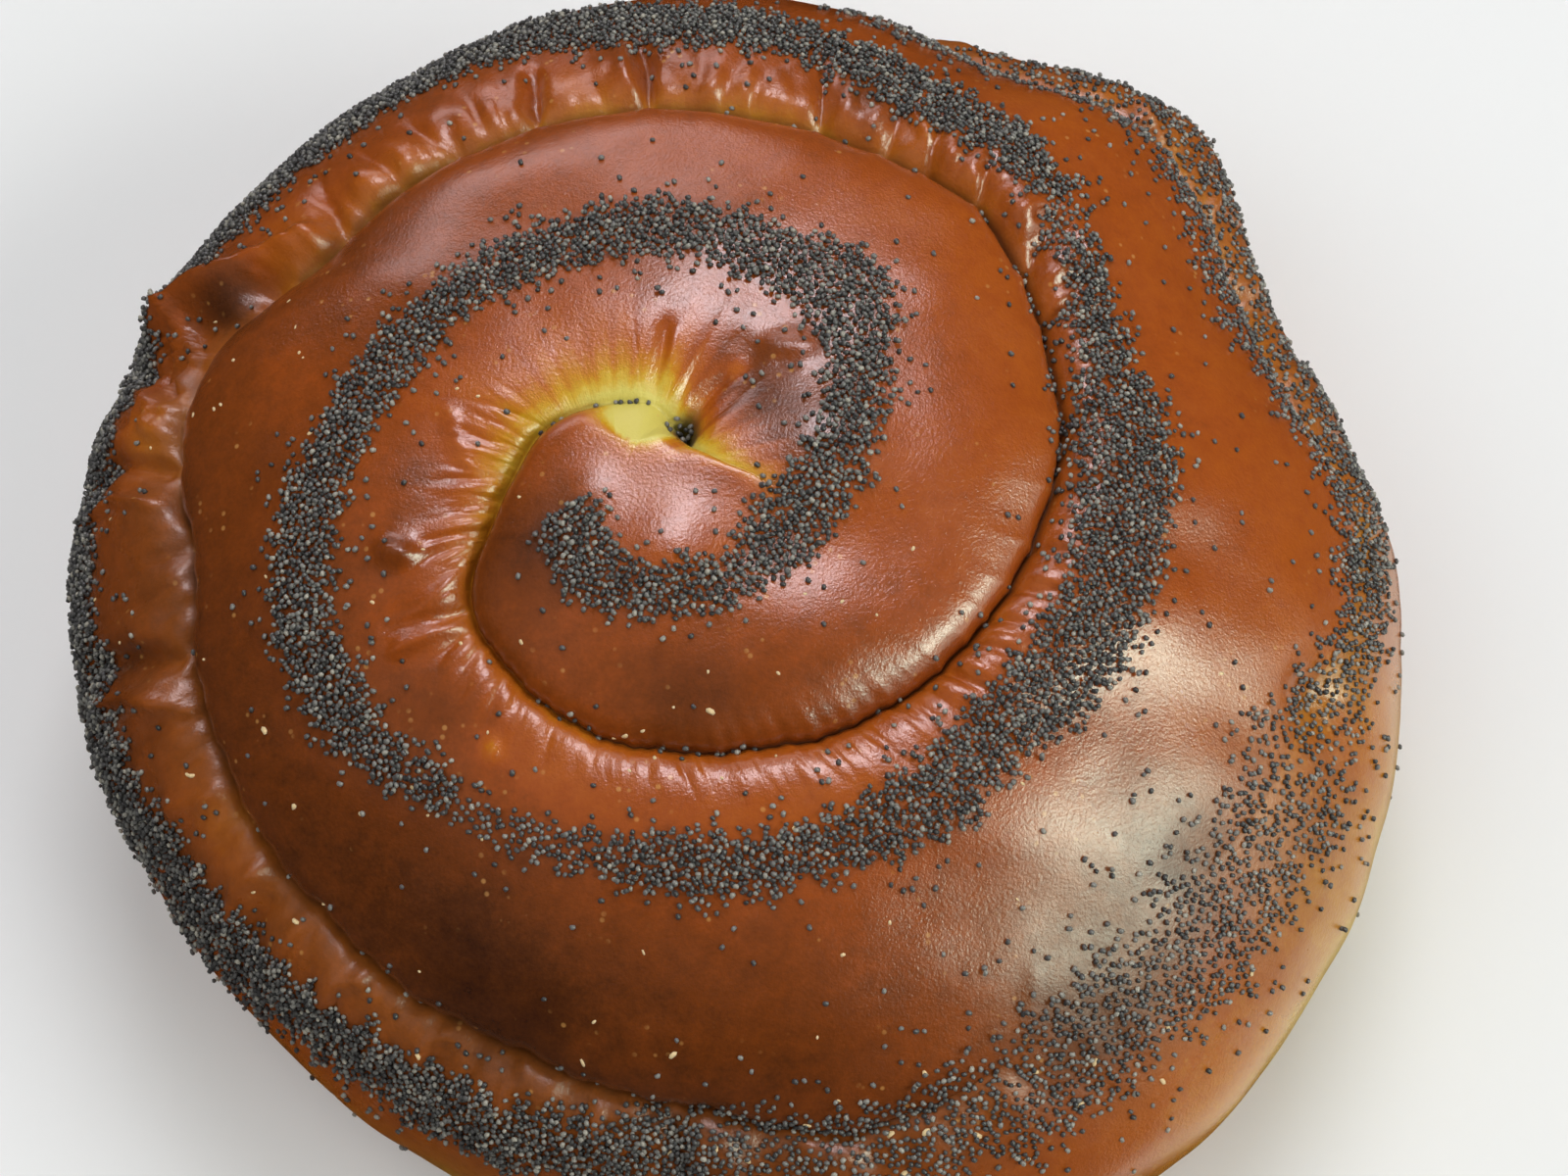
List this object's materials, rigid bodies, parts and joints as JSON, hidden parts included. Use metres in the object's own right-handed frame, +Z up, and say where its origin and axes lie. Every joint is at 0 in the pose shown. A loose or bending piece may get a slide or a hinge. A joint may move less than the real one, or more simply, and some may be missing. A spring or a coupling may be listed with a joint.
{
  "type": "round coiled challah loaf",
  "caption": "Round coiled challah: an egg-washed bread strand wound into a stepped dome, with poppy seeds along its crest.",
  "frame": {"origin": "middle of the flat underside, at the middle of the loaf's extent in plan", "axes": "+Z up, -Y towards the viewer of the reference picture, +X to the viewer's right"},
  "size_m": [0.1758, 0.1778, 0.0769],
  "materials": {
    "crust": "egg-washed baked crust, glossy mahogany brown, with blue-black poppy seeds"
  },
  "bodies": {
    "root": {"challah": "crust"}
  },
  "joints": []
}
